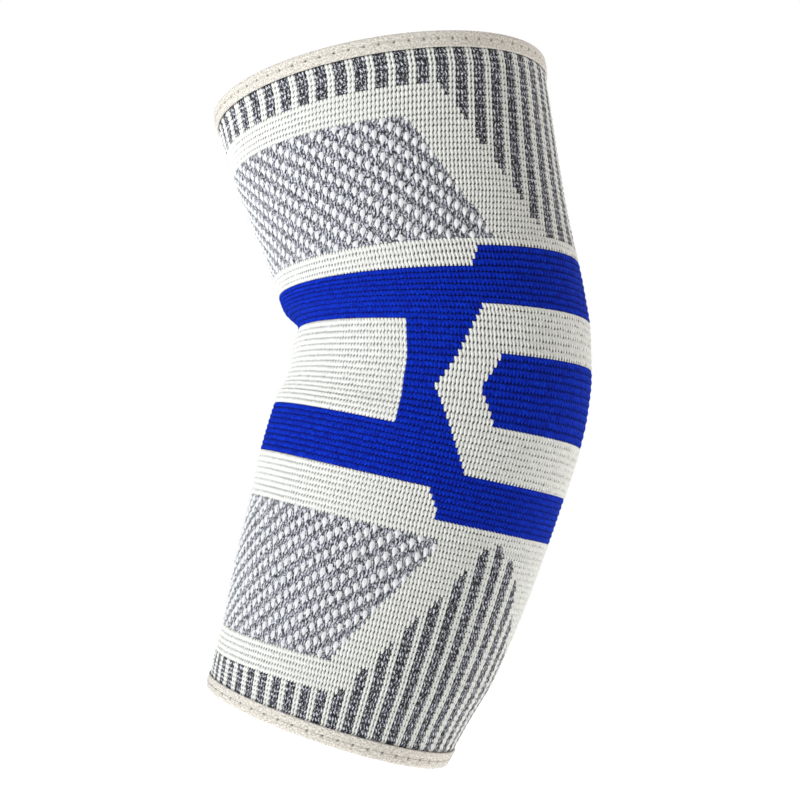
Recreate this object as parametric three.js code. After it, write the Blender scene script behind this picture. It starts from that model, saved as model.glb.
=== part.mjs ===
import * as THREE from 'three';

// Elbow brace: a knitted compression sleeve, shaped as it sits on a slightly bent elbow.
// Millimetres, +Z up the arm. The bend lies in the XZ plane and +X points out past the tip of the elbow.
// The origin is the middle of the bore at the elbow, where the sleeve sits on the arm.

// Driving sizes of the worn shape
const elbowRadius = 49.5;        // half the width across the elbow
const upperMouthRadius = 56.3;
const lowerMouthRadius = 40;
const upperRise = 87.6;           // from the elbow up to the middle of the upper mouth
const lowerDrop = 121.6;          // from the elbow down to the middle of the lower mouth
const upperSetback = 21;         // how far the mouths lie behind the elbow
const lowerSetback = 37.8;
const upperRimLean = 8;          // degrees that the upper rim rises towards +X
const lowerRimLean = 17;         // degrees that the lower rim falls towards +X

// Half the depth from front to back, a little less than the radius
const upperMouthHalfDepth = 49.5;
const elbowHalfDepth = 47;
const lowerMouthHalfDepth = 36.8;

// The fold across the inside of the elbow
const creaseDepth = 1.6;
const creaseHalfHeight = 5;

// Knit and edge tape
const knitThickness = 1.6;
const pressedThickness = 1;      // the knit where the tape grips it
const tapeThickness = 0.6;
const tapeWidth = 5.3;
const tapeStandsProud = 0.4;     // how far the tape lifts over the knit's outer face
const seamClearance = 0.3;

// How finely the cloth is faceted
const facetsAround = 44;
const longestFacet = 5.4;
const foldFacets = 5;

// Sections of the sleeve, each a course of stitches from the upper rim to the lower one.
// reach: share of the limb's rise or drop. setback: share of the limb's setback.
// flare: share of the way from the elbow's radius to the mouth's, below 0 where it bulges.
// turn: share of the whole turn from the upper rim's lean to the lower rim's.
// sag: how far the front and back hang below the sides, as a share of the elbow's radius.
const upperSections = [
  { reach: 1.00, setback: 1.00, flare: 1.00, turn: -0.06, sag: 0.00 }, // upper rim
  { reach: 0.95, setback: 0.96, flare: 0.93, turn: -0.05, sag: 0.00 }, // edge of the tape
  { reach: 0.81, setback: 0.84, flare: 0.80, turn: 0.01, sag: 0.00 },  // end of the short stripes
  { reach: 0.71, setback: 0.75, flare: 0.70, turn: 0.06, sag: 0.00 },  // top of the mesh panel
  { reach: 0.50, setback: 0.52, flare: 0.40, turn: 0.12, sag: 0.00 },
  { reach: 0.31, setback: 0.29, flare: 0.18, turn: 0.16, sag: 0.00 },  // bottom of the mesh panel
  { reach: 0.235, setback: 0.21, flare: 0.16, turn: 0.21, sag: 0.01 }, // roll of cloth over the crease
  { reach: 0.14, setback: 0.12, flare: 0.14, turn: 0.33, sag: 0.02 },
  { reach: 0.05, setback: 0.02, flare: -0.04, turn: 0.43, sag: 0.03 }  // the crease
];
const lowerSections = [
  { reach: 0.04, setback: 0.01, flare: 0.01, turn: 0.50, sag: 0.04 },
  { reach: 0.135, setback: 0.06, flare: -0.05, turn: 0.62, sag: 0.045 }, // tip of the elbow
  { reach: 0.22, setback: 0.15, flare: -0.10, turn: 0.77, sag: 0.04 },
  { reach: 0.36, setback: 0.295, flare: -0.04, turn: 0.83, sag: 0.03 },
  { reach: 0.475, setback: 0.40, flare: 0.08, turn: 0.845, sag: 0.02 },  // top of the lower mesh panel
  { reach: 0.65, setback: 0.577, flare: 0.26, turn: 0.85, sag: 0.01 },
  { reach: 0.815, setback: 0.745, flare: 0.54, turn: 0.855, sag: 0.00 }, // bottom of the lower mesh panel
  { reach: 0.895, setback: 0.86, flare: 0.73, turn: 0.89, sag: 0.00 },
  { reach: 0.96, setback: 0.95, flare: 0.90, turn: 1.01, sag: 0.00 },    // edge of the tape
  { reach: 1.00, setback: 1.00, flare: 1.00, turn: 1.05, sag: 0.00 }     // lower rim
];
const creaseSection = upperSections.length - 1;

const degrees = Math.PI / 180;
const mix = (from, to, share) => from + (to - from) * share;

// Real sizes of one section, worked out from its shares
function sizedSection(row, upper) {
  const mouthRadius = upper ? upperMouthRadius : lowerMouthRadius;
  const mouthRoundness = (upper ? upperMouthHalfDepth : lowerMouthHalfDepth) / mouthRadius;
  return {
    x: -row.setback * (upper ? upperSetback : lowerSetback),
    z: row.reach * (upper ? upperRise : -lowerDrop),
    radius: mix(elbowRadius, mouthRadius, row.flare),
    roundness: mix(elbowHalfDepth / elbowRadius, mouthRoundness, row.reach),
    lean: mix(-upperRimLean, lowerRimLean, row.turn) * degrees,
    sag: row.sag * elbowRadius
  };
}

const sections = [
  ...upperSections.map((row) => sizedSection(row, true)),
  ...lowerSections.map((row) => sizedSection(row, false))
];

// Distance of each section from the upper rim, along the middle of the bore
const stations = sections.reduce((found, section, i) => {
  const before = sections[i - 1];
  found.push(i === 0 ? 0 : found[i - 1] + Math.hypot(section.x - before.x, section.z - before.z));
  return found;
}, []);
const sleeveLength = stations[stations.length - 1];

// Slopes of a smooth curve through one size of all the sections, without overshoot
function smoothSlopes(values) {
  const steps = values.slice(1).map((value, i) => (value - values[i]) / (stations[i + 1] - stations[i]));
  return values.map((value, i) => {
    if (i === 0) return steps[0];
    if (i === steps.length) return steps[i - 1];
    const [left, right] = [steps[i - 1], steps[i]];
    return left * right > 0 ? (2 * left * right) / (left + right) : 0;
  });
}

const sizeNames = ['x', 'z', 'radius', 'roundness', 'lean', 'sag'];
const columns = Object.fromEntries(sizeNames.map((name) => {
  const values = sections.map((section) => section[name]);
  return [name, { values, slopes: smoothSlopes(values) }];
}));

// The section at any distance from the upper rim
function sectionAt(station) {
  const last = stations.length - 2;
  const after = stations.findIndex((place) => place > station);
  const i = after < 0 ? last : Math.min(Math.max(after - 1, 0), last);
  const span = stations[i + 1] - stations[i];
  const u = (station - stations[i]) / span;
  const found = {};
  for (const name of sizeNames) {
    const { values, slopes } = columns[name];
    const start = (1 + 2 * u) * (1 - u) ** 2 * values[i] + u * (1 - u) ** 2 * span * slopes[i];
    const end = u ** 2 * (3 - 2 * u) * values[i + 1] + u ** 2 * (u - 1) * span * slopes[i + 1];
    found[name] = start + end;
  }
  return found;
}

// How far the fold pushes the inside of the elbow in: deepest on the inner line, gone at the sides
function creaseDent(angle, station) {
  const away = (station - stations[creaseSection]) / creaseHalfHeight;
  const inner = Math.max(0, Math.cos(angle));
  return creaseDepth * Math.exp(-away * away) * inner * inner;
}

// A point of the knit's outer face. The angle runs from the inner line by way of the front.
function outerPoint(angle, station) {
  const { x, z, radius, roundness, lean, sag } = sectionAt(station);
  const width = radius - creaseDent(angle, station);
  const across = -width * Math.cos(angle);
  const deep = Math.sin(angle);
  const hang = sag * deep * deep;
  return new THREE.Vector3(
    x + across * Math.cos(lean) - hang * Math.sin(lean),
    -width * roundness * deep,
    z - across * Math.sin(lean) - hang * Math.cos(lean)
  );
}

// The same point moved in through the wall by an inset
function wallPoint(angle, station, inset) {
  const nudge = 0.01;
  const around = outerPoint(angle + nudge, station).sub(outerPoint(angle - nudge, station));
  const along = outerPoint(angle, station + nudge).sub(outerPoint(angle, station - nudge));
  const inward = around.cross(along).normalize();
  return outerPoint(angle, station).addScaledVector(inward, inset);
}

// A closed ring-shaped solid swept around the sleeve: its profile is a loop of station and inset pairs
function ringSolid(profile) {
  const positions = [];
  const faces = [];
  const count = profile.length;
  for (let a = 0; a < facetsAround; a++) {
    const angle = (2 * Math.PI * a) / facetsAround;
    for (const { station, inset } of profile) positions.push(...wallPoint(angle, station, inset).toArray());
    const next = (a + 1) % facetsAround;
    for (let p = 0; p < count; p++) {
      const q = (p + 1) % count;
      const [here, there] = [a * count, next * count];
      faces.push(here + p, here + q, there + q, here + p, there + q, there + p);
    }
  }
  const geometry = new THREE.BufferGeometry();
  geometry.setAttribute('position', new THREE.Float32BufferAttribute(positions, 3));
  geometry.setIndex(faces);
  geometry.computeVertexNormals();
  return geometry;
}

// Depths through the wall at a taped rim, from the tape's outer face to its inner one
const tapeOuter = -tapeStandsProud;
const gripOuter = tapeOuter + tapeThickness + seamClearance;
const gripInner = gripOuter + pressedThickness;
const tapeInner = gripInner + seamClearance + tapeThickness;
const foldHeight = 2 * tapeThickness;

// The knitted tube: full thickness between the tapes, pressed thin inside them
function knitProfile() {
  const knitEnd = foldHeight + seamClearance;
  const shoulder = tapeWidth + seamClearance;
  const fullStart = shoulder + seamClearance;
  const fullEnd = sleeveLength - fullStart;
  const middle = [];
  for (const [i, station] of stations.entries()) {
    const from = Math.max(i === 0 ? 0 : stations[i - 1], fullStart);
    const to = Math.min(station, fullEnd);
    if (to <= from) continue;
    const pieces = Math.ceil((to - from) / longestFacet);
    for (let piece = 0; piece < pieces; piece++) middle.push(mix(from, to, piece / pieces));
  }
  middle.push(fullEnd);
  const outer = [
    { station: knitEnd, inset: gripOuter },
    { station: shoulder, inset: gripOuter },
    ...middle.map((station) => ({ station, inset: 0 })),
    { station: sleeveLength - shoulder, inset: gripOuter },
    { station: sleeveLength - knitEnd, inset: gripOuter }
  ];
  const inner = outer.map(({ station, inset }) => (
    { station, inset: inset === 0 ? knitThickness : gripInner }
  ));
  return [...outer, ...inner.reverse()];
}

// The edge tape folded over a rim, as seen at the upper rim: two leaves and a rounded fold
function tapeProfile() {
  const middle = (tapeOuter + tapeInner) / 2;
  const halfDepth = (tapeInner - tapeOuter) / 2;
  const fold = [];
  for (let i = 0; i <= foldFacets; i++) {
    const turned = (Math.PI * i) / foldFacets;
    fold.push({ station: foldHeight * (1 - Math.sin(turned)), inset: middle + halfDepth * Math.cos(turned) });
  }
  return [
    { station: tapeWidth, inset: tapeOuter + tapeThickness },
    { station: foldHeight, inset: tapeOuter + tapeThickness },
    { station: foldHeight, inset: tapeInner - tapeThickness },
    { station: tapeWidth, inset: tapeInner - tapeThickness },
    { station: tapeWidth, inset: tapeInner },
    ...fold,
    { station: tapeWidth, inset: tapeOuter }
  ];
}

// The same profile at the lower rim, turned end for end
const atLowerRim = (profile) => profile
  .map(({ station, inset }) => ({ station: sleeveLength - station, inset }))
  .reverse();

const knitCloth = new THREE.MeshStandardMaterial({ color: 0xe9eae3, roughness: 0.9, metalness: 0 });
const edgeTape = new THREE.MeshStandardMaterial({ color: 0xd6ccc2, roughness: 0.85, metalness: 0 });

function named(name, profile, material) {
  const mesh = new THREE.Mesh(ringSolid(profile), material);
  mesh.name = name;
  return mesh;
}

const group = new THREE.Group();
group.add(named('knitted_sleeve', knitProfile(), knitCloth));
group.add(named('upper_edge_tape', tapeProfile(), edgeTape));
group.add(named('lower_edge_tape', atLowerRim(tapeProfile()), edgeTape));

export default group;
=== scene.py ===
import bpy
import math
import numpy as np
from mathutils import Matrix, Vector


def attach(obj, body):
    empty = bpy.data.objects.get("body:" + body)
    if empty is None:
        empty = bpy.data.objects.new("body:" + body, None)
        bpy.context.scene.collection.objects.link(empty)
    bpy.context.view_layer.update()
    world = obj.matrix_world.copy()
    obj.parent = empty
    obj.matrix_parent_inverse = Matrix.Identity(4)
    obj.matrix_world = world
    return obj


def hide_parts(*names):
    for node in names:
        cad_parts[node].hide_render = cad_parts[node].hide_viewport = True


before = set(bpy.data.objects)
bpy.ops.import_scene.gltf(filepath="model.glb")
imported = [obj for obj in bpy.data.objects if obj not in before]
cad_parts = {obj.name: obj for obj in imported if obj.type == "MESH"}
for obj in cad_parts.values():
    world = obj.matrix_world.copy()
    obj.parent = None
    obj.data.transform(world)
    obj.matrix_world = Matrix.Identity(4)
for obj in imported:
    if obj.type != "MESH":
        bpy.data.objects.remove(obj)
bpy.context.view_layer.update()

mm = 0.001

# Knitted elbow sleeve. The worn surface is the same as in the CAD, and the stitches are raised on it.
# A place on the cloth is a wale (stitch column) counted from the inner line of the arm round the front,
# and a course (stitch row) counted down from the upper tape.


# ---- camera ----
cameraSetup = {
    "target": (-14.2, 0.0, -16.8),  # mm
    "distance": 410.0,              # mm
    "elevation": -6.0,              # degrees, the photo looks slightly up
    "lens": 55.9,                   # mm on a 36 mm sensor
}


def makeCamera(setup):
    data = bpy.data.cameras.new("camera")
    data.lens = setup["lens"]
    data.sensor_width = 36.0
    data.clip_start = 0.01
    camera = bpy.data.objects.new("camera", data)
    bpy.context.scene.collection.objects.link(camera)
    tilt = math.radians(setup["elevation"])
    back = Vector((0.0, -math.cos(tilt), math.sin(tilt)))
    camera.location = (Vector(setup["target"]) + back * setup["distance"]) * mm
    camera.rotation_mode = "QUATERNION"
    camera.rotation_quaternion = (-back).to_track_quat("-Z", "Y")
    bpy.context.scene.camera = camera


makeCamera(cameraSetup)
print("camera placed")


# ---- worn surface, as in the CAD ----
wornShape = {
    "elbowRadius": 49.5, "upperMouthRadius": 56.3, "lowerMouthRadius": 40.0,
    "elbowHalfDepth": 47.0, "upperMouthHalfDepth": 49.5, "lowerMouthHalfDepth": 36.8,
    "upperRise": 87.6, "lowerDrop": 121.6, "upperSetback": 21.0, "lowerSetback": 37.8,
    "upperRimLean": 8.0, "lowerRimLean": 17.0,
    "creaseDepth": 1.6, "creaseHalfHeight": 5.0,
    "knitThickness": 1.6,
}
# reach, setback, flare, turn and sag of each section, shares as in the CAD
upperSections = [
    (1.00, 1.00, 1.00, -0.06, 0.00), (0.95, 0.96, 0.93, -0.05, 0.00), (0.81, 0.84, 0.80, 0.01, 0.00),
    (0.71, 0.75, 0.70, 0.06, 0.00), (0.50, 0.52, 0.40, 0.12, 0.00), (0.31, 0.29, 0.18, 0.16, 0.00),
    (0.235, 0.21, 0.16, 0.21, 0.01), (0.14, 0.12, 0.14, 0.33, 0.02), (0.05, 0.02, -0.04, 0.43, 0.03),
]
lowerSections = [
    (0.04, 0.01, 0.01, 0.50, 0.04), (0.135, 0.06, -0.05, 0.62, 0.045), (0.22, 0.15, -0.10, 0.77, 0.04),
    (0.36, 0.295, -0.04, 0.83, 0.03), (0.475, 0.40, 0.08, 0.845, 0.02), (0.65, 0.577, 0.26, 0.85, 0.01),
    (0.815, 0.745, 0.54, 0.855, 0.00), (0.895, 0.86, 0.73, 0.89, 0.00), (0.96, 0.95, 0.90, 1.01, 0.00),
    (1.00, 1.00, 1.00, 1.05, 0.00),
]


def mix(start, end, share):
    return start + (end - start) * share


def sizedSection(row, limb, direction):
    reach, setback, flare, turn, sag = row
    shape = wornShape
    mouth = shape[limb + "MouthRadius"]
    rise = shape["upperRise"] if limb == "upper" else shape["lowerDrop"]
    return (
        -setback * shape[limb + "Setback"],
        direction * reach * rise,
        mix(shape["elbowRadius"], mouth, flare),
        mix(shape["elbowHalfDepth"] / shape["elbowRadius"], shape[limb + "MouthHalfDepth"] / mouth, reach),
        math.radians(mix(-shape["upperRimLean"], shape["lowerRimLean"], turn)),
        sag * shape["elbowRadius"],
    )


sections = np.array(
    [sizedSection(row, "upper", 1) for row in upperSections]
    + [sizedSection(row, "lower", -1) for row in lowerSections]
)
stations = np.concatenate([[0.0], np.cumsum(np.hypot(np.diff(sections[:, 0]), np.diff(sections[:, 1])))])
sleeveLength = stations[-1]
creaseStation = stations[len(upperSections) - 1]


def smoothSlopes(values):
    steps = np.diff(values) / np.diff(stations)
    left, right = steps[:-1], steps[1:]
    together = left * right > 0
    inner = np.where(together, 2 * left * right / np.where(together, left + right, 1), 0)
    return np.concatenate([[steps[0]], inner, [steps[-1]]])


sectionSlopes = np.array([smoothSlopes(column) for column in sections.T]).T


def sectionAt(station):
    i = np.clip(np.searchsorted(stations, station, side="right") - 1, 0, len(stations) - 2)
    span = (stations[i + 1] - stations[i])[..., None]
    u = (station - stations[i])[..., None] / span
    start = (1 + 2 * u) * (1 - u) ** 2 * sections[i] + u * (1 - u) ** 2 * span * sectionSlopes[i]
    end = u ** 2 * (3 - 2 * u) * sections[i + 1] + u ** 2 * (u - 1) * span * sectionSlopes[i + 1]
    found = start + end
    return [found[..., k] for k in range(6)]


def outerPoint(angle, station):
    x, z, radius, roundness, lean, sag = sectionAt(station)
    away = (station - creaseStation) / wornShape["creaseHalfHeight"]
    dent = wornShape["creaseDepth"] * np.exp(-away ** 2) * np.maximum(0, np.cos(angle)) ** 2
    width = radius - dent
    across = -width * np.cos(angle)
    deep = np.sin(angle)
    hang = sag * deep ** 2
    return np.stack([
        x + across * np.cos(lean) - hang * np.sin(lean),
        -width * roundness * deep,
        z - across * np.sin(lean) - hang * np.cos(lean),
    ], -1)


def wallPoint(angle, station, inset):
    nudge = 0.01
    around = outerPoint(angle + nudge, station) - outerPoint(angle - nudge, station)
    along = outerPoint(angle, station + nudge) - outerPoint(angle, station - nudge)
    inward = np.cross(around, along)
    inward /= np.linalg.norm(inward, axis=-1, keepdims=True)
    return outerPoint(angle, station) + inward * inset[..., None]


# ---- knitting chart ----
knit = {
    "wales": 260,            # stitches round the sleeve
    "courses": 112,          # rows of stitches between the two tapes
    "columnsPerWale": 3,     # mesh columns in one stitch
    "rowsPerCourse": 4,      # mesh rows in one stitch
    "loopDrop": 0.34,        # how far a loop hangs below its neighbours' seams, in courses
}
halfRound = knit["wales"] // 2
# distance from the upper rim in mm, and the course that starts there
courseMarks = [
    (2.0, -2), (5.3, 0), (15.8, 6), (25.2, 11), (63.3, 32), (71.0, 36), (86.4, 45), (119.0, 61), (136.0, 70),
    (150.7, 78), (193.1, 101), (202.4, 106), (212.3, 112), (215.6, 114),
]
# how many wales the cloth creeps towards the inner line where the bent elbow stretches it
creepMarks = [
    (10, 0.0), (25, 2.5), (40, 5.2), (48, 6.6), (57, 9.0), (62, 10.4), (86, 10.6), (104, 9.8),
    (117, 8.2), (135, 7.5), (148, 7.2), (157, 6.1), (167, 5.2), (177, 4.5), (192, 3.6), (200, 2.1), (212, 0.0),
]
creepFade = 18.0             # wales over which the creep starts from the inner and outer lines
white, blue, charcoal, panelAbove, panelBelow = range(5)


def stationOfCourse(course):
    marks = np.array(courseMarks)
    return np.interp(course, marks[:, 1], marks[:, 0])


def loopedCourse(wale, course):
    """Courses drawn as rows of loops: lower in the middle of each wale than at its edges."""
    return course + knit["loopDrop"] * (0.5 - np.abs(2 * (wale % 1) - 1))


def angleOfWale(wale, station):
    """Angle round the sleeve, from the inner line by way of the front."""
    marks = np.array(creepMarks)
    creep = np.interp(station, marks[:, 0], marks[:, 1])
    back = wale > halfRound
    side = np.where(back, 2 * halfRound - wale, wale)
    fade = (1 - np.exp(-side / creepFade)) * (1 - np.exp(-(halfRound - side) / creepFade))
    placed = side - creep * fade / (1 - math.exp(-halfRound / 2 / creepFade)) ** 2
    placed = np.where(back, 2 * halfRound - placed, placed)
    turned = math.pi * placed / halfRound
    roundness = sectionAt(station)[3]
    flatness = (1 - roundness ** 2) / (1 + roundness ** 2)
    return turned + flatness / 4 * np.sin(2 * turned)


def stitchChart():
    """The yarn of each stitch, as courses by wales. The back mirrors the front."""
    count = knit["wales"]
    wale = np.minimum(np.arange(count), count - 1 - np.arange(count))[None, :]
    course = np.arange(knit["courses"])[:, None]
    chart = np.full((knit["courses"], count), white)
    chart[((course >= 36) & (course < 45) & (wale >= 0)) | ((course >= 61) & (course < 70) & (wale >= 0))] = blue
    chart[(course >= 33) & (course < 36) & (wale >= 86.5 - 1.17 * (course - 33))] = blue
    chart[(course >= 45) & (course < 61) & (wale >= 65)] = blue
    chart[(course >= 70) & (course < 75) & (wale >= 78 + 0.7 * (course - 70))] = blue
    chart[(course >= 42) & (course < 67) & (wale >= 72.5 + np.abs(course - 54))] = white
    chart[(course >= 49) & (course < 59) & (wale >= 84.2 + 0.86 * np.abs(course - 53.5))] = blue
    chart[(course >= 11) & (course < 32) & (wale < 70 + 1.07 * (course - 11))] = panelAbove
    chart[(course >= 78) & (course < 101) & (wale < 83 - 0.957 * (course - 78))] = panelBelow
    stripeEnd = np.clip(np.round(7 + 0.86 * (wale - 79)), 6, 31)
    chart[np.isin(wale % 5, (3, 4, 0)) & (course < stripeEnd)] = charcoal
    stripeStart = np.round(np.interp(
        wale, (62, 67, 86, 95.7, 100.7, 105.5, 110, 115, 130), (106, 105.2, 87.6, 78.4, 77.1, 78.7, 82.4, 87.8, 103)))
    chart[np.isin(wale % 5, (0, 1, 2)) & (course >= stripeStart)] = charcoal
    return chart


chart = stitchChart()
print("knitting chart drawn:", {name: int((chart == yarn).sum()) for name, yarn in
                                (("white", white), ("blue", blue), ("charcoal", charcoal))})

# relief of the stitches, in mm
relief = {
    "crown": (0.10, 0.0, -0.05, -0.22, -0.22),     # height of a stitch's crown by yarn
    "groove": (0.56, 0.32, 0.42, 0.20, 0.20),      # depth between wales
    "pinhole": (0.40, 0.24, 0.24, 0.18, 0.18),     # further depth at the corners of a stitch
    "rowDip": (0.11, 0.22, 0.14, 0.12, 0.12),      # depth between courses on a stitch's crown
    "uneven": (0.03, 0.02, 0.08, 0.10, 0.10),      # how much stitches differ
    "dotRise": 0.50,                                # the white dots of the panels over their ground
    "dotHalfWidth": 0.70,                           # in wales
    "dotHalfHeight": 0.78,                          # in courses
    "pressed": 0.55,                                # how far the tapes press the knit in
}


def panelDots(side, course, shift):
    """How far a place lies inside a dot of a panel: 1 at its middle, 0 from its edge on."""
    column = np.floor((side - 0.5) / 2 + 0.5)
    sideways = side - 0.5 - 2 * column
    lengthways = np.mod(course - 0.5 - shift * column + 1.5, 3) - 1.5
    inside = 1 - (sideways / relief["dotHalfWidth"]) ** 2 - (lengthways / relief["dotHalfHeight"]) ** 2
    return np.clip(inside, 0, 1) ** 0.6


def stitchRelief(course, wale, uneven):
    """Height of the knit over the worn surface at the corners of the mesh, in mm."""
    across, along = knit["columnsPerWale"], knit["rowsPerCourse"]
    rows, columns = course.shape
    height = np.zeros((rows, columns))
    weight = np.zeros((rows, columns))
    for rowSide in (-0.5, 0.5):
        for columnSide in (-0.5, 0.5):
            cellCourse = np.floor(course + rowSide / along).astype(int)
            cellWale = np.floor(wale + columnSide / across).astype(int) % knit["wales"]
            cellCourse = np.clip(cellCourse, 0, knit["courses"] - 1)
            yarn = chart[cellCourse, cellWale]
            grooveness = np.cos(np.pi * wale) ** 2
            rowness = np.cos(np.pi * course) ** 2
            cell = np.array(relief["crown"])[yarn] + np.array(relief["uneven"])[yarn] * uneven[cellCourse, cellWale]
            cell -= np.array(relief["groove"])[yarn] * grooveness
            cell -= np.array(relief["pinhole"])[yarn] * grooveness * rowness
            cell -= np.array(relief["rowDip"])[yarn] * rowness
            side = np.minimum(wale, knit["wales"] - wale)
            for panel, shift in ((panelAbove, 1), (panelBelow, -1)):
                dots = panelDots(side, course, shift)
                cell = np.where(yarn == panel, cell + relief["dotRise"] * dots, cell)
            height += cell
            weight += 1
    gripped = (course < -0.1) | (course > knit["courses"] + 0.1)
    return np.where(gripped, -relief["pressed"], height / weight)


# ---- materials ----
def linear(hexColour):
    """sRGB hex value as a linear colour."""
    parts = [int(hexColour[i:i + 2], 16) / 255 for i in (1, 3, 5)]
    return tuple(c / 12.92 if c <= 0.04045 else ((c + 0.055) / 1.055) ** 2.4 for c in parts) + (1.0,)


def addNode(tree, kind, settings=None, links=None):
    """A node with its settings: plain attributes or socket values. links: socket to (node, output) pairs."""
    node = tree.nodes.new(kind)
    for name, value in (settings or {}).items():
        if isinstance(name, int) or name in node.inputs:
            node.inputs[name].default_value = value
        else:
            setattr(node, name, value)
    for socket, (source, output) in (links or {}).items():
        tree.links.new(source.outputs[output], node.inputs[socket])
    return node


def newMaterial(name, **surface):
    material = bpy.data.materials.new(name)
    material.use_nodes = True
    tree = material.node_tree
    shader = tree.nodes["Principled BSDF"]
    for socket, value in surface.items():
        shader.inputs[socket].default_value = value
    return material, tree, shader


def calc(tree, operation, first, second=None, third=None):
    """A Math node on values or (node, output) pairs, as a (node, output) pair."""
    node = tree.nodes.new("ShaderNodeMath")
    node.operation = operation
    for socket, value in enumerate((first, second, third)):
        if isinstance(value, tuple):
            tree.links.new(value[0].outputs[value[1]], node.inputs[socket])
        elif value is not None:
            node.inputs[socket].default_value = value
    return node, 0


def stitchPlace(tree):
    """Stitch map, wale, course, and how near a point is to a wale's edge, a course's edge and a stitch's corner."""
    stitchMap = addNode(tree, "ShaderNodeUVMap", {"uv_map": "stitches"})
    # no two stitches of a real knit are alike: the map wobbles by up to a seventh of a stitch
    wobble = addNode(tree, "ShaderNodeTexNoise", {"Scale": 0.9, "Detail": 1.0}, {"Vector": (stitchMap, 0)})
    centred = addNode(tree, "ShaderNodeVectorMath", {"operation": "SUBTRACT", 1: (0.5, 0.5, 0.5)}, {0: (wobble, 1)})
    placed = addNode(tree, "ShaderNodeVectorMath", {"operation": "MULTIPLY_ADD", 1: (0.34, 0.42, 0.0)},
                     {0: (centred, 0), 2: (stitchMap, 0)})
    apart = addNode(tree, "ShaderNodeSeparateXYZ", links={0: (placed, 0)})
    wale, course = (apart, 0), (apart, 1)
    # the legs of a stitch slant, so the gaps between stitches are short slanted slits
    slant = calc(tree, "MULTIPLY", calc(tree, "SINE", calc(tree, "MULTIPLY", course, 2 * math.pi)), 0.15)
    waleAway = calc(tree, "PINGPONG", calc(tree, "ADD", wale, slant), 0.5)
    courseAway = calc(tree, "PINGPONG", course, 0.5)
    return stitchMap, wale, course, waleAway, courseAway


def nearness(tree, distance, reach):
    """1 where the distance is small, falling to 0 at its reach."""
    node = addNode(tree, "ShaderNodeMapRange", {"interpolation_type": "SMOOTHSTEP", 1: reach, 2: reach * 0.25},
                   {0: distance})
    return node, 0


def cornerGap(tree, waleAway, courseAway, halfWidth, halfHeight):
    """1 in the pinhole at a stitch's corner."""
    across = calc(tree, "POWER", calc(tree, "DIVIDE", waleAway, halfWidth), 2.0)
    along = calc(tree, "POWER", calc(tree, "DIVIDE", courseAway, halfHeight), 2.0)
    return nearness(tree, calc(tree, "ADD", across, along), 1.3)


def yarnNoise(tree, stitchMap, stretch, scale, detail=3.0, roughness=0.6):
    """Noise in stitch units, stretched along or across the wales."""
    placed = addNode(tree, "ShaderNodeMapping", {"Scale": stretch}, {0: (stitchMap, 0)})
    return addNode(tree, "ShaderNodeTexNoise", {"Scale": scale, "Detail": detail, "Roughness": roughness},
                   {"Vector": (placed, 0)})


def shadeBy(tree, factor, dark, light):
    """Colour between two hex values by a (node, output) factor."""
    node = addNode(tree, "ShaderNodeMix", {"data_type": "RGBA"})
    node.inputs[6].default_value = linear(dark)
    node.inputs[7].default_value = linear(light)
    tree.links.new(factor[0].outputs[factor[1]], node.inputs[0])
    return node, 2


def shadeBetween(tree, factor, first, second):
    node = addNode(tree, "ShaderNodeMix", {"data_type": "RGBA"})
    for socket, (source, output) in ((0, factor), (6, first), (7, second)):
        tree.links.new(source.outputs[output], node.inputs[socket])
    return node, 2


def plainYarnMaterial(name, colours, surface, shadeInGaps, grain):
    """Jacquard knit in one yarn: pale crowns, and painted shade that darkens the grooves and the pinholes between the
    stitches nearly to black.
    """
    material, tree, shader = newMaterial(name, **surface)
    stitchMap, wale, course, waleAway, courseAway = stitchPlace(tree)
    fibre = yarnNoise(tree, stitchMap, (3.0, 1.5, 1.0), 1.2)      # filaments lie along the wale
    patches = yarnNoise(tree, stitchMap, (0.45, 0.6, 1.0), 1.0)   # stitches differ, in twos and threes
    sharp = addNode(tree, "ShaderNodeMapRange", {1: 0.30, 2: 0.68}, {0: (fibre, 0)})
    crown = shadeBy(tree, (sharp, 0), colours["shade"], colours["crown"])
    tone = shadeBy(tree, (patches, 0), colours["patch"], "#ffffff")
    body = addNode(tree, "ShaderNodeMix", {"data_type": "RGBA", "blend_type": "MULTIPLY"})
    body.inputs[0].default_value = 1.0
    tree.links.new(crown[0].outputs[2], body.inputs[6])
    tree.links.new(tone[0].outputs[2], body.inputs[7])
    # painted shade: the grooves between wales, the lines between courses and the pinholes at the corners take the
    # yarn's two darkest colours
    edges = calc(tree, "MULTIPLY", nearness(tree, waleAway, 0.22), shadeInGaps["wale"])
    rows = calc(tree, "MULTIPLY", nearness(tree, courseAway, 0.20), shadeInGaps["row"])
    corner = calc(tree, "MULTIPLY", cornerGap(tree, waleAway, courseAway, shadeInGaps["halfWidth"], shadeInGaps["halfHeight"]),
                  shadeInGaps["corner"])
    paintedGapShade = calc(tree, "MINIMUM", calc(tree, "MAXIMUM", calc(tree, "ADD", edges, rows), corner), 1.0)
    deep = shadeBy(tree, (fibre, 0), colours["paintedGapShade"], colours["paintedGapPale"])
    final = shadeBetween(tree, paintedGapShade, (body, 2), deep)
    tree.links.new(final[0].outputs[2], shader.inputs["Base Color"])
    raised = calc(tree, "SUBTRACT", calc(tree, "MULTIPLY", (fibre, 0), 0.7), calc(tree, "MULTIPLY", paintedGapShade, 0.8))
    bump = addNode(tree, "ShaderNodeBump", {"Strength": grain["strength"], "Distance": grain["depth"] * mm},
                   {"Height": raised})
    tree.links.new(bump.outputs[0], shader.inputs["Normal"])
    return material


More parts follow.
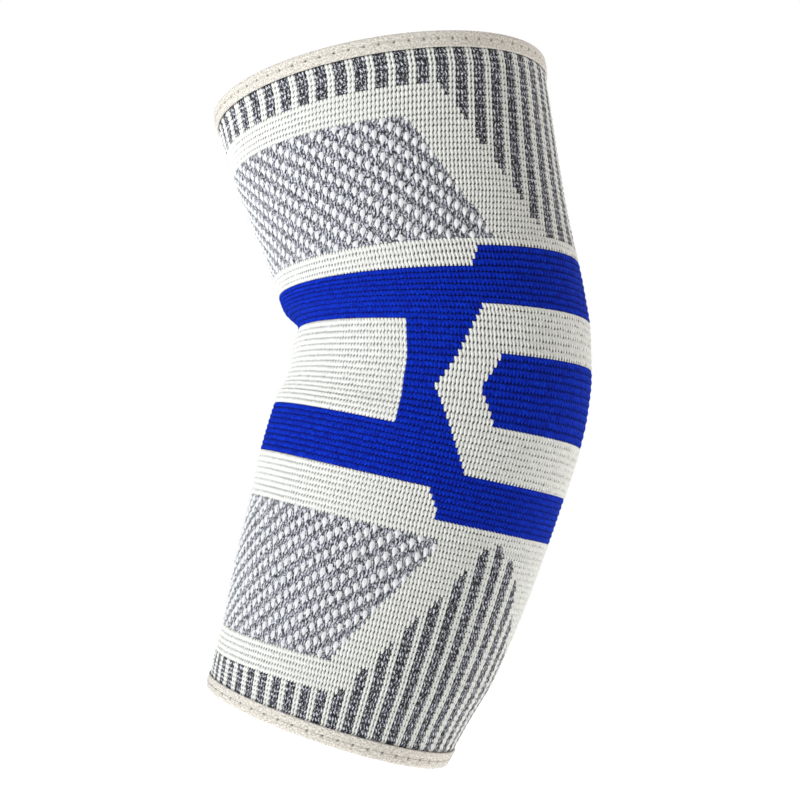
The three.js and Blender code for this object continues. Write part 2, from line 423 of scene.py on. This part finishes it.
# Matt textured nylon over covered latex: soft broad highlight, no mirror glint
yarnSurface = {"Roughness": 0.9, "IOR": 1.53, "Specular IOR Level": 0.25, "Sheen Weight": 0.08, "Sheen Roughness": 0.4}
# each yarn's last two colours are the painted shade of the grooves, course lines and pinholes between its stitches
whiteNylon = plainYarnMaterial(
    "white_textured_nylon_yarn",
    {"crown": "#f3f4f1", "shade": "#d6d8d6", "patch": "#e6e7e4", "paintedGapShade": "#2c2c2a", "paintedGapPale": "#686864"},
    yarnSurface, {"wale": 0.44, "row": 0.14, "corner": 1.0, "halfWidth": 0.19, "halfHeight": 0.31},
    {"strength": 0.8, "depth": 0.22})
blueNylon = plainYarnMaterial(
    "royal_blue_textured_nylon_yarn",
    {"crown": "#0447f0", "shade": "#010a72", "patch": "#4454b0", "paintedGapShade": "#000112", "paintedGapPale": "#010634"},
    dict(yarnSurface, **{"Specular IOR Level": 0.10, "Sheen Weight": 0.12, "Sheen Tint": linear("#1f86ff")}),
    {"wale": 0.35, "row": 0.72, "corner": 0.75, "halfWidth": 0.26, "halfHeight": 0.24},
    {"strength": 0.7, "depth": 0.18})


# Melange yarn is hairier than the plain ones, so it pales where it is seen along its surface
melangeSurface = dict(yarnSurface, **{"Sheen Weight": 0.3, "Sheen Roughness": 0.5})


def melangeGround(tree, stitchMap, waleAway, courseAway, dark, light, waleShadeAmount, middle, blend):
    """Charcoal and pale plies twisted together: flecks a third of a stitch long, with painted shade in dark lines
    between wales and at the stitches' corners.
    """
    flecks = yarnNoise(tree, stitchMap, (1.7, 1.15, 1.0), 1.2, 2.0, 0.8)
    sharp = addNode(tree, "ShaderNodeMapRange", {1: middle - blend, 2: middle + blend}, {0: (flecks, 0)})
    ground = shadeBy(tree, (sharp, 0), dark, light)
    # painted shade between the wales and in the pinholes at the corners
    lines = calc(tree, "MULTIPLY", nearness(tree, waleAway, 0.30), waleShadeAmount)
    corner = calc(tree, "MULTIPLY", cornerGap(tree, waleAway, courseAway, 0.3, 0.3), 0.8)
    deep = shadeBy(tree, (flecks, 0), "#08090d", "#24262e")
    return shadeBetween(tree, calc(tree, "MAXIMUM", lines, corner), ground, deep), flecks


def melangeMaterial(name, dark, light):
    material, tree, shader = newMaterial(name, **melangeSurface)
    stitchMap, wale, course, waleAway, courseAway = stitchPlace(tree)
    colour, flecks = melangeGround(tree, stitchMap, waleAway, courseAway, dark, light, 0.95, 0.515, 0.04)
    # painted shade: the lines between courses are darkened nearly to black
    rows = calc(tree, "MULTIPLY", nearness(tree, courseAway, 0.26), 0.6)
    paintedGapShade = shadeBy(tree, (flecks, 0), "#08090c", "#24262e")
    colour = shadeBetween(tree, rows, colour, paintedGapShade)
    tree.links.new(colour[0].outputs[2], shader.inputs["Base Color"])
    bump = addNode(tree, "ShaderNodeBump", {"Strength": 0.8, "Distance": 0.2 * mm}, {"Height": (flecks, 0)})
    tree.links.new(bump.outputs[0], shader.inputs["Normal"])
    return material


def panelMaterial(name, shift):
    """Openwork panel: melange ground with raised white dots, one column in two, each column one course over."""
    material, tree, shader = newMaterial(name, **melangeSurface)
    stitchMap, wale, course, waleAway, courseAway = stitchPlace(tree)
    colour, flecks = melangeGround(tree, stitchMap, waleAway, courseAway, "#24262f", "#c3c6cf", 0.65, 0.50, 0.055)
    column = calc(tree, "FLOOR", calc(tree, "MULTIPLY_ADD", wale, 0.5, 0.25))
    sideways = calc(tree, "SUBTRACT", calc(tree, "SUBTRACT", wale, 0.5), calc(tree, "MULTIPLY", column, 2.0))
    placed = calc(tree, "SUBTRACT", calc(tree, "ADD", course, 1.0 + 300.0), calc(tree, "MULTIPLY", column, float(shift)))
    lengthways = calc(tree, "SUBTRACT", calc(tree, "MODULO", placed, 3.0), 1.5)
    across = calc(tree, "POWER", calc(tree, "ABSOLUTE", calc(tree, "DIVIDE", sideways, relief["dotHalfWidth"])), 2.0)
    along = calc(tree, "POWER", calc(tree, "ABSOLUTE", calc(tree, "DIVIDE", lengthways, relief["dotHalfHeight"])), 2.0)
    inside = addNode(tree, "ShaderNodeMapRange", {1: 1.10, 2: 0.75}, {0: calc(tree, "ADD", across, along)})
    dotYarn = shadeBy(tree, (flecks, 0), "#b9bcc0", "#e6e8e8")
    final = shadeBetween(tree, (inside, 0), colour, dotYarn)
    tree.links.new(final[0].outputs[2], shader.inputs["Base Color"])
    bump = addNode(tree, "ShaderNodeBump", {"Strength": 0.7, "Distance": 0.18 * mm}, {"Height": (flecks, 0)})
    tree.links.new(bump.outputs[0], shader.inputs["Normal"])
    return material


charcoalMelange = melangeMaterial("charcoal_melange_nylon_yarn", "#0c0d12", "#c9ccd6")
knitMaterials = [
    whiteNylon, blueNylon, charcoalMelange,
    panelMaterial("openwork_panel_knit_upper", 1), panelMaterial("openwork_panel_knit_lower", -1),
]
print("yarn materials made")


# ---- knitted bands ----
def joinedMesh(name, vertices, faces, faceMaterials, materials, maps):
    mesh = bpy.data.meshes.new(name)
    mesh.from_pydata([], [], [])
    counts = np.array([len(face) for face in faces]) if not isinstance(faces, np.ndarray) else None
    flat = np.concatenate([np.asarray(face).ravel() for face in faces])
    sizes = np.concatenate([np.full(len(face), face.shape[1]) for face in faces])
    mesh.vertices.add(len(vertices))
    mesh.vertices.foreach_set("co", (vertices * mm).astype(np.float32).ravel())
    mesh.loops.add(len(flat))
    mesh.loops.foreach_set("vertex_index", flat.astype(np.int32))
    mesh.polygons.add(len(sizes))
    starts = np.concatenate([[0], np.cumsum(sizes)[:-1]])
    mesh.polygons.foreach_set("loop_start", starts.astype(np.int32))
    mesh.polygons.foreach_set("material_index", faceMaterials.astype(np.int32))
    for material in materials:
        mesh.materials.append(material)
    for mapName, values in maps.items():
        layer = mesh.uv_layers.new(name=mapName)
        layer.data.foreach_set("uv", values.astype(np.float32).ravel())
    mesh.update(calc_edges=True)
    mesh.validate()
    mesh.polygons.foreach_set("use_smooth", np.ones(len(mesh.polygons), bool))
    piece = bpy.data.objects.new(name, mesh)
    bpy.context.scene.collection.objects.link(piece)
    return piece


def gridFaces(rows, columns, start, wrap, flip=False):
    """Quads of a grid that closes on itself when wrap is true."""
    row, column = np.meshgrid(np.arange(rows - 1), np.arange(columns if wrap else columns - 1), indexing="ij")
    beside = (column + 1) % columns
    corners = [row * columns + column, row * columns + beside, (row + 1) * columns + beside, (row + 1) * columns + column]
    if flip:
        corners.reverse()
    return start + np.stack([corner.ravel() for corner in corners], -1)


def bandMaps(faceGrid, columns, waleStep, flip, courseOf, lowest, highest):
    """Stitch map and clean unrolled map for the quads of a grid: per corner, in the order of gridFaces."""
    rows = len(courseOf)
    row, column = np.meshgrid(np.arange(rows - 1), np.arange(columns), indexing="ij")
    rowCorners = [row, row, row + 1, row + 1]
    columnCorners = [column, column + 1, column + 1, column]
    if flip:
        rowCorners.reverse()
        columnCorners.reverse()
    rowCorners = np.stack([r.ravel() for r in rowCorners], -1)
    columnCorners = np.stack([c.ravel() for c in columnCorners], -1)
    wale = columnCorners * waleStep
    faceWale = wale.mean(1, keepdims=True)
    mirrored = np.where(faceWale > halfRound, 2 * halfRound - wale, wale)
    course = courseOf[rowCorners]
    stitches = np.stack([mirrored, course], -1).reshape(-1, 2)
    unrolled = np.stack([
        0.004 + 0.992 * wale / (2 * halfRound),
        lowest + (highest - lowest) * rowCorners / (rows - 1),
    ], -1).reshape(-1, 2)
    return stitches, unrolled


unevenStitches = np.random.default_rng(7).uniform(-1, 1, (knit["courses"], knit["wales"]))


def knittedBand(name, firstCourse, lastCourse):
    across, along = knit["columnsPerWale"], knit["rowsPerCourse"]
    outerColumns, innerColumns = knit["wales"] * across, knit["wales"]
    outerCourses = np.arange(firstCourse * along, lastCourse * along + 1) / along
    innerCourses = np.arange(firstCourse, lastCourse + 1).astype(float)

    wale, course = np.meshgrid(np.arange(outerColumns) / across, outerCourses)
    station = stationOfCourse(loopedCourse(wale, course))
    outer = wallPoint(angleOfWale(wale, station), station, -stitchRelief(course, wale, unevenStitches))
    innerWale, innerCourse = np.meshgrid(np.arange(innerColumns).astype(float), innerCourses)
    innerStation = stationOfCourse(innerCourse)
    checker = 0.12 * np.where((innerWale + innerCourse) % 2 > 0, 1.0, -1.0)
    checker = np.where((innerCourse < 0) | (innerCourse > knit["courses"]), -0.2, checker)
    inner = wallPoint(angleOfWale(innerWale, innerStation), innerStation, wornShape["knitThickness"] + checker)

    innerStart = outer.shape[0] * outerColumns
    outerFaces = gridFaces(len(outerCourses), outerColumns, 0, True)
    innerFaces = gridFaces(len(innerCourses), innerColumns, innerStart, True, flip=True)
    rims = []
    for outerRow, innerRow, flip in ((0, 0, True), (len(outerCourses) - 1, len(innerCourses) - 1, False)):
        k = np.arange(innerColumns)
        corners = [outerRow * outerColumns + (k * across + step) % outerColumns for step in range(across + 1)]
        corners += [innerStart + innerRow * innerColumns + (k + 1) % innerColumns,
                    innerStart + innerRow * innerColumns + k]
        if flip:
            corners.reverse()
        rims.append(np.stack(corners, -1))

    cellCourse = np.clip(np.floor(outerCourses[:-1] + 0.5 / along).astype(int), 0, knit["courses"] - 1)
    cellWale = np.arange(outerColumns) // across
    outerYarn = chart[cellCourse][:, cellWale].ravel()
    innerYarn = chart[np.clip(innerCourses[:-1].astype(int), 0, knit["courses"] - 1)].ravel()
    innerYarn = np.where(innerYarn >= panelAbove, charcoal, innerYarn)
    rimYarn = np.full(2 * innerColumns, white)

    outerStitches, outerUnrolled = bandMaps(None, outerColumns, 1 / across, False, outerCourses, 0.005, 0.80)
    innerStitches, innerUnrolled = bandMaps(None, innerColumns, 1.0, True, innerCourses, 0.82, 0.955)
    rimCorners = across + 3
    k = np.arange(innerColumns)
    rimWale = np.stack([k + step / across for step in range(across + 1)] + [k + 1, k], -1).astype(float)
    rimHeight = np.array([0.0] * (across + 1) + [1.0, 1.0])[None, :].repeat(innerColumns, 0)
    rimStitches, rimUnrolled = [], []
    for low, flip in ((0.962, True), (0.982, False)):
        rimMap = np.stack([0.004 + 0.992 * rimWale / innerColumns, low + 0.012 * rimHeight], -1)
        stitchMap = np.stack([rimWale, rimHeight], -1)
        rimUnrolled.append((rimMap[:, ::-1] if flip else rimMap).reshape(-1, 2))
        rimStitches.append((stitchMap[:, ::-1] if flip else stitchMap).reshape(-1, 2))

    piece = joinedMesh(
        name, np.concatenate([outer.reshape(-1, 3), inner.reshape(-1, 3)]),
        [outerFaces, innerFaces, *rims],
        np.concatenate([outerYarn, innerYarn, rimYarn]), knitMaterials,
        {"stitches": np.concatenate([outerStitches, innerStitches, *rimStitches]),
         "OFBake": np.concatenate([outerUnrolled, innerUnrolled, *rimUnrolled])})
    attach(piece, "root")
    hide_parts("knitted_sleeve")
    return piece


knittedBands = {
    "knit_upper_cuff": (-2, 11), "knit_upper_panel": (11, 36), "knit_elbow_upper_band": (36, 58),
    "knit_elbow_lower_band": (58, 78), "knit_lower_panel": (78, 101), "knit_lower_cuff": (101, 114),
}
for name, (firstCourse, lastCourse) in knittedBands.items():
    piece = knittedBand(name, firstCourse, lastCourse)
    print(name, "knitted,", len(piece.data.polygons), "faces")



# ---- edge tapes ----
tape = {
    "width": 5.3, "thickness": 0.6, "standsProud": 0.4, "foldHeight": 1.2, "innerFace": 2.4,  # mm, as in the CAD
    "ribPitch": 0.8,         # mm between the tape's ribs
    "ribHeight": 0.07,       # mm
    "pickPitch": 0.9,        # mm between the cross threads of the weave
    "stitchPitch": 4.6,      # mm from needle hole to needle hole
    "seamPlace": 2.7,        # mm from the rim
    "holeDepth": 0.38, "holeRadius": 0.42,
    "threadRadius": 0.17,
}

tapeMaterial, tapeTree, tapeShader = newMaterial(
    "beige_woven_elastic_tape", **{"Roughness": 0.9, "IOR": 1.53, "Sheen Weight": 0.25, "Sheen Roughness": 0.5})
# Woven elastic of spun nylon: a soft, slightly fuzzy rib, with painted shade darkening the needle holes
tapeMap = addNode(tapeTree, "ShaderNodeUVMap", {"uv_map": "stitches"})
tapeApart = addNode(tapeTree, "ShaderNodeSeparateXYZ", links={0: (tapeMap, 0)})
tapeFuzz = yarnNoise(tapeTree, tapeMap, (1.1, 1.6, 1.0), 1.0, 4.0, 0.75)
tapeSharp = addNode(tapeTree, "ShaderNodeMapRange", {1: 0.34, 2: 0.60}, {0: (tapeFuzz, 0)})
tapeColour = shadeBy(tapeTree, (tapeSharp, 0), "#8a847a", "#dedad2")
# painted shade in the needle holes, which the mesh also dents
needleHoleMask = addNode(tapeTree, "ShaderNodeAttribute", {"attribute_name": "painted_hole_shade"})
tapeShadeInHoles = shadeBy(tapeTree, (tapeFuzz, 0), "#2b2621", "#463f38")
tapeFinal = shadeBetween(tapeTree, (needleHoleMask, 2), tapeColour, tapeShadeInHoles)
tapeTree.links.new(tapeFinal[0].outputs[2], tapeShader.inputs["Base Color"])
tapeBump = addNode(tapeTree, "ShaderNodeBump", {"Strength": 0.7, "Distance": 0.15 * mm}, {"Height": (tapeFuzz, 0)})
tapeTree.links.new(tapeBump.outputs[0], tapeShader.inputs["Normal"])

threadMaterial, threadTree, threadShader = newMaterial(
    "beige_polyester_sewing_thread", **{"Roughness": 0.55, "IOR": 1.57, "Sheen Weight": 0.2})
# Spun polyester thread: a little glossier than the tape, with its twist showing as fine slanted bands
threadPlace = addNode(threadTree, "ShaderNodeTexCoord")
threadTwist = addNode(threadTree, "ShaderNodeTexNoise", {"Scale": 2500.0, "Detail": 2.0}, {"Vector": (threadPlace, 3)})
threadColour = shadeBy(threadTree, (threadTwist, 0), "#99938a", "#cdc8bf")
threadTree.links.new(threadColour[0].outputs[2], threadShader.inputs["Base Color"])
threadBump = addNode(threadTree, "ShaderNodeBump", {"Strength": 0.5, "Distance": 0.05 * mm}, {"Height": (threadTwist, 0)})
threadTree.links.new(threadBump.outputs[0], threadShader.inputs["Normal"])


def tapeProfile():
    """Station, inset and path length of the folded tape, as a closed loop that starts at its outer edge."""
    outerFace, innerFace = -tape["standsProud"], tape["innerFace"]
    middle, half = (outerFace + innerFace) / 2, (innerFace - outerFace) / 2
    leaf = np.linspace(tape["width"], tape["foldHeight"], 11)
    turned = np.linspace(0, math.pi, 8)[1:-1]
    edge = tape["width"] - 0.12
    profile = [(edge, outerFace + tape["thickness"]), (tape["width"], outerFace + tape["thickness"] / 2)]
    profile += [(min(place, edge), outerFace) for place in leaf]
    profile += [(tape["foldHeight"] * (1 - math.sin(t)), middle - half * math.cos(t)) for t in turned]
    profile += [(min(place, edge), innerFace) for place in leaf[::-1]]
    profile += [(tape["width"], innerFace - tape["thickness"] / 2), (edge, innerFace - tape["thickness"])]
    profile += [(tape["foldHeight"], innerFace - tape["thickness"]), (tape["foldHeight"], outerFace + tape["thickness"])]
    return np.array(profile)


def ringAngles(count, station):
    """Angles that part the rim into equal lengths, from the inner line."""
    return angleOfWale(np.arange(count) * knit["wales"] / count, np.full(count, station))


def edgeTape(name, node, rimStation, direction, rimLength):
    profile = tapeProfile()
    ribs = round(rimLength / tape["ribPitch"])
    columns, rows = ribs * 2, len(profile)
    holes = round(rimLength / tape["stitchPitch"])
    column, row = np.meshgrid(np.arange(columns), np.arange(rows))
    angle = np.broadcast_to(ringAngles(columns, rimStation), column.shape)
    steps = np.hypot(*np.diff(profile, axis=0).T)
    path = np.concatenate([[0.0], np.cumsum(steps)])
    pathAt = path[row]
    station = rimStation + direction * profile[row, 0]
    # ribs stand up and the cross threads break them, on the faces that show
    shows = (row >= 2) & (row < rows - 4)
    wave = np.cos(math.pi * column) * np.cos(2 * math.pi * pathAt / tape["pickPitch"] + math.pi * (column // 2 % 2))
    rng = np.random.default_rng(11)
    lift = tape["ribHeight"] * (wave + rng.uniform(-0.7, 0.7, wave.shape)) * shows
    # needle holes, in one row on each leaf
    holeColumn = (column * holes / columns + 0.5) % 1 - 0.5
    sideways = holeColumn * rimLength / holes
    seamAway = profile[row, 0] - tape["seamPlace"]
    hole = np.exp(-(sideways ** 2 + seamAway ** 2) / tape["holeRadius"] ** 2) * shows
    lift -= tape["holeDepth"] * hole
    outward = np.where(profile[row, 1] > 1.0, 1.0, -1.0)
    points = wallPoint(angle, station, profile[row, 1] + outward * lift)
    faces = gridFaces(rows, columns, 0, True, flip=direction < 0)
    closing = np.arange(columns)
    closingFaces = np.stack([(rows - 1) * columns + closing, (rows - 1) * columns + (closing + 1) % columns,
                             (closing + 1) % columns, closing], -1)
    if direction < 0:
        closingFaces = closingFaces[:, ::-1]
    rowCorner = np.stack([row[:-1].ravel(), row[:-1].ravel(), row[1:].ravel(), row[1:].ravel()], -1)
    columnCorner = np.stack([column[:-1].ravel(), column[:-1].ravel() + 1, column[:-1].ravel() + 1, column[:-1].ravel()], -1)
    closeRows = np.tile([rows - 1, rows - 1, rows, rows], (columns, 1))
    closeColumns = np.stack([closing, closing + 1, closing + 1, closing], -1)
    if direction < 0:
        rowCorner, columnCorner = rowCorner[:, ::-1], columnCorner[:, ::-1]
        closeRows, closeColumns = closeRows[:, ::-1], closeColumns[:, ::-1]
    rowCorner = np.concatenate([rowCorner, closeRows]).reshape(-1)
    columnCorner = np.concatenate([columnCorner, closeColumns]).reshape(-1)
    pathClosed = np.append(path, path[-1] + 0.6)
    stitches = np.stack([columnCorner / 2, pathClosed[rowCorner] / tape["pickPitch"]], -1)
    unrolled = np.stack([0.004 + 0.992 * columnCorner / columns, 0.01 + 0.98 * pathClosed[rowCorner] / pathClosed[-1]], -1)
    allFaces = [faces, closingFaces]
    piece = joinedMesh(name, points.reshape(-1, 3), allFaces, np.zeros(len(faces) + len(closingFaces)),
                       [tapeMaterial], {"stitches": stitches, "OFBake": unrolled})
    # how deep in a needle hole each point lies, for the painted shade there
    layer = piece.data.attributes.new("painted_hole_shade", "FLOAT", "POINT")
    layer.data.foreach_set("value", np.clip(hole * 1.5 - 0.25, 0, 1).astype(np.float32).ravel())
    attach(piece, "root")
    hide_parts(node)
    return holes


def seamThread(name, rimStation, direction, holes):
    """One lockstitch from hole to hole on both leaves: a bent capsule that dips into the holes."""
    sides, rings = 6, 7
    vertices, faces = [], []
    share = np.linspace(0.06, 0.94, rings)
    for face, inset in ((-1, -tape["standsProud"]), (1, tape["innerFace"])):
        for k in range(holes):
            angles = angleOfWale((k + share) * knit["wales"] / holes, np.full(rings, rimStation))
            sink = 0.30 * (1 - np.sin(math.pi * share) ** 0.35) - 0.02
            thin = np.clip(np.sin(math.pi * share) * 2.5, 0.35, 1.0) * tape["threadRadius"]
            start = len(vertices)
            for ring in range(rings):
                for side in range(sides):
                    turned = 2 * math.pi * side / sides
                    station = rimStation + direction * (tape["seamPlace"] + thin[ring] * math.cos(turned))
                    depth = inset - face * sink[ring] + face * thin[ring] * math.sin(turned)
                    vertices.append((angles[ring], station, depth))
            for ring in range(rings - 1):
                for side in range(sides):
                    a, b = start + ring * sides + side, start + ring * sides + (side + 1) % sides
                    faces.append((a, b, b + sides, a + sides))
            faces.append(tuple(start + side for side in range(sides))[::-1])
            faces.append(tuple(start + (rings - 1) * sides + side for side in range(sides)))
    placed = np.array(vertices)
    points = wallPoint(placed[:, 0], placed[:, 1], placed[:, 2]) * mm
    mesh = bpy.data.meshes.new(name)
    mesh.from_pydata(points.tolist(), [], faces)
    mesh.materials.append(threadMaterial)
    mesh.polygons.foreach_set("use_smooth", np.ones(len(mesh.polygons), bool))
    piece = bpy.data.objects.new(name, mesh)
    bpy.context.scene.collection.objects.link(piece)
    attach(piece, "root")
    return piece


def rimLength(station):
    angle = np.linspace(0, 2 * math.pi, 721)
    ring = outerPoint(angle, np.full(angle.shape, station))
    return np.linalg.norm(np.diff(ring, axis=0), axis=1).sum()


for name, node, station, direction in (("upper_tape", "upper_edge_tape", 0.0, 1), ("lower_tape", "lower_edge_tape", sleeveLength, -1)):
    holes = edgeTape(name + "_woven", node, station, direction, rimLength(station))
    seamThread(name + "_stitching", station, direction, holes)
print("edge tapes folded and sewn")


# ---- studio ----
studio = {
    "floorHeight": -600.0,   # mm, well under the sleeve, which is worn and so floats
    "floorRadius": 6.0,      # m
    "worldStrength": 0.18,
    "backdropStrength": 1.0,
}


def areaLight(name, place, size, power, colour):
    data = bpy.data.lights.new(name, "AREA")
    data.shape = "DISK"
    data.size = size
    data.energy = power
    data.color = linear(colour)[:3]
    light = bpy.data.objects.new(name, data)
    light.location = place
    aim = Vector((-0.01, 0.0, -0.02)) - Vector(place)
    light.rotation_mode = "QUATERNION"
    light.rotation_quaternion = aim.to_track_quat("-Z", "Y")
    bpy.context.scene.collection.objects.link(light)


areaLight("key_light", (-1.12, -0.76, 0.50), 0.30, 18.0, "#ffffff")
areaLight("fill_light", (1.0, -0.85, 0.50), 0.25, 2.8, "#fff6ec")
areaLight("rim_light", (1.15, 0.25, 0.45), 0.4, 4.0, "#fff4ea")
areaLight("back_light", (0.5, 1.0, 0.6), 0.9, 7.0, "#ffffff")

world = bpy.data.worlds.new("studio_world")
bpy.context.scene.world = world
world.use_nodes = True
world.node_tree.nodes["Background"].inputs[0].default_value = (1.0, 1.0, 1.0, 1.0)
world.node_tree.nodes["Background"].inputs[1].default_value = studio["worldStrength"]


def roundSheet(name, radius, rings, heightOf, material):
    """A round sheet of quads and a middle fan: the floor."""
    around = 64
    vertices = [(0.0, 0.0, heightOf(0.0))]
    for ring in range(1, rings + 1):
        reach = radius * ring / rings
        for step in range(around):
            turned = 2 * math.pi * step / around
            vertices.append((reach * math.cos(turned), reach * math.sin(turned), heightOf(reach)))
    faces = [(0, 1 + step, 1 + (step + 1) % around) for step in range(around)]
    for ring in range(rings - 1):
        for step in range(around):
            a, b = 1 + ring * around + step, 1 + ring * around + (step + 1) % around
            faces.append((a, a + around, b + around, b))
    mesh = bpy.data.meshes.new(name)
    mesh.from_pydata(vertices, [], faces)
    mesh.materials.append(material)
    sheet = bpy.data.objects.new(name, mesh)
    bpy.context.scene.collection.objects.link(sheet)
    return sheet


def backdropDome(name, radius, strength):
    """A white dome behind everything that only the camera sees, so it lights nothing."""
    material = bpy.data.materials.new("lit_white_backdrop")
    material.use_nodes = True
    tree = material.node_tree
    tree.nodes.remove(tree.nodes["Principled BSDF"])
    glow = addNode(tree, "ShaderNodeEmission", {"Color": (1.0, 1.0, 1.0, 1.0), "Strength": strength})
    tree.links.new(glow.outputs[0], tree.nodes["Material Output"].inputs[0])
    rings, around = 24, 48
    vertices = [(0.0, 0.0, radius), (0.0, 0.0, -radius)]
    for ring in range(1, rings):
        tilt = math.pi * ring / rings
        vertices += [(radius * math.sin(tilt) * math.cos(2 * math.pi * k / around),
                      radius * math.sin(tilt) * math.sin(2 * math.pi * k / around), radius * math.cos(tilt))
                     for k in range(around)]
    faces = [(0, 2 + k, 2 + (k + 1) % around) for k in range(around)]
    for ring in range(rings - 2):
        for k in range(around):
            a, b = 2 + ring * around + k, 2 + ring * around + (k + 1) % around
            faces.append((a, a + around, b + around, b))
    last = 2 + (rings - 2) * around
    faces += [(1, last + (k + 1) % around, last + k) for k in range(around)]
    mesh = bpy.data.meshes.new(name)
    mesh.from_pydata(vertices, [], faces)
    mesh.materials.append(material)
    dome = bpy.data.objects.new(name, mesh)
    bpy.context.scene.collection.objects.link(dome)
    for kind in ("diffuse", "glossy", "transmission", "volume_scatter", "shadow"):
        setattr(dome, "visible_" + kind, False)


backdropDome("backdrop", studio["floorRadius"] * 0.98, studio["backdropStrength"])
paperMaterial, paperTree, paperShader = newMaterial(
    "matt_white_background_paper", **{"Roughness": 0.9, "Emission Color": (1, 1, 1, 1), "Emission Strength": 0.95})
paperGrain = addNode(paperTree, "ShaderNodeTexNoise", {"Scale": 30.0, "Detail": 4.0})
paperColour = shadeBy(paperTree, (paperGrain, 0), "#f6f6f5", "#fbfbfa")
paperTree.links.new(paperColour[0].outputs[2], paperShader.inputs["Base Color"])
roundSheet("floor", studio["floorRadius"], 12, lambda reach: studio["floorHeight"] * mm, paperMaterial)

bpy.context.scene.view_settings.view_transform = "Standard"
print("studio lit")
